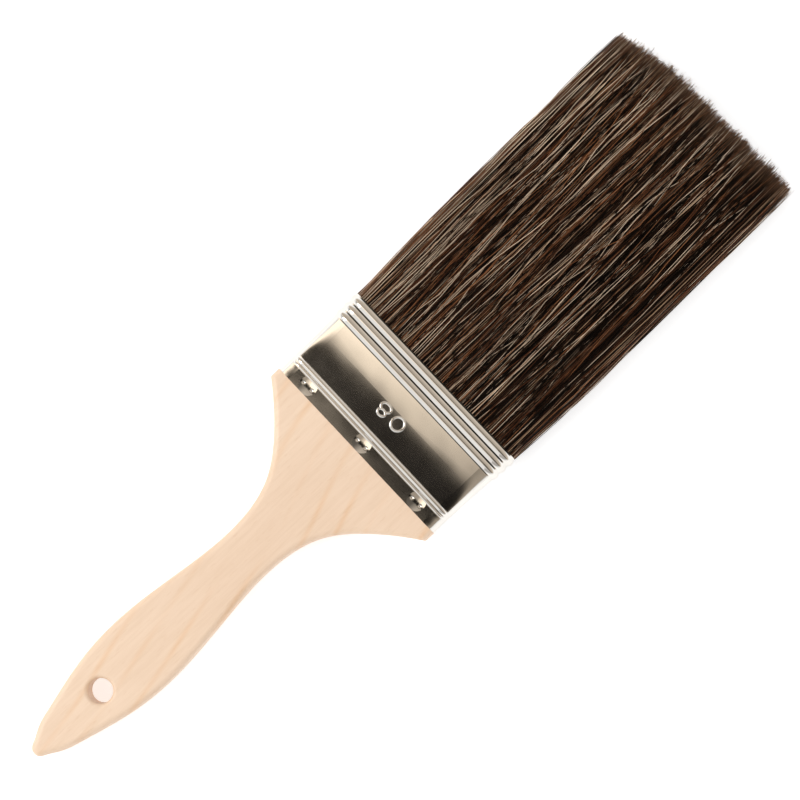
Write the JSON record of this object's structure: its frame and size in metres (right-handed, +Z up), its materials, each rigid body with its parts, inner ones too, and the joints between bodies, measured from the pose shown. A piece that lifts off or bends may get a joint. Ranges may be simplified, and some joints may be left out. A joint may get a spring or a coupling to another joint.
{
  "type": "paint brush",
  "caption": "Flat wide paint brush with a waisted wooden handle and hanging hole, a beaded metal ferrule and long natural hair.",
  "frame": {"origin": "under the middle of the brush's length and width, on the surface that it lies on", "axes": "+X along the brush from the handle's tip to the hair's tips, +Y across the width, +Z up out of the front face, which bears the size number"},
  "size_m": [0.327, 0.0818, 0.0134],
  "materials": {
    "handle_wood": "pale fine-grained hardwood under a thin satin varnish",
    "ferrule_plate": "bright nickel-plated steel sheet, slightly warm, with mirror-like beads",
    "resin": "clear amber setting resin",
    "plug_wood": "plain softwood strip",
    "hair": "mixed natural hair: black-brown with reddish, tan and grey strands, slightly glossy"
  },
  "bodies": {
    "brush": {"handle": "handle_wood", "ferrule": "ferrule_plate", "setting_resin": "resin", "spacer_plug": "plug_wood", "front_hair_roots": "hair", "back_hair_roots": "hair"},
    "hair": {"front_hair": "hair", "back_hair": "hair"}
  },
  "joints": [
    {"name": "hair_flex", "type": "hinge", "parent": "brush", "child": "hair", "pos_m": [0.0345, 0, 0.0067], "axis": [0, -1, 0], "range_deg": [0, 30], "stiffness_Nm_per_rad": 0.6}
  ]
}
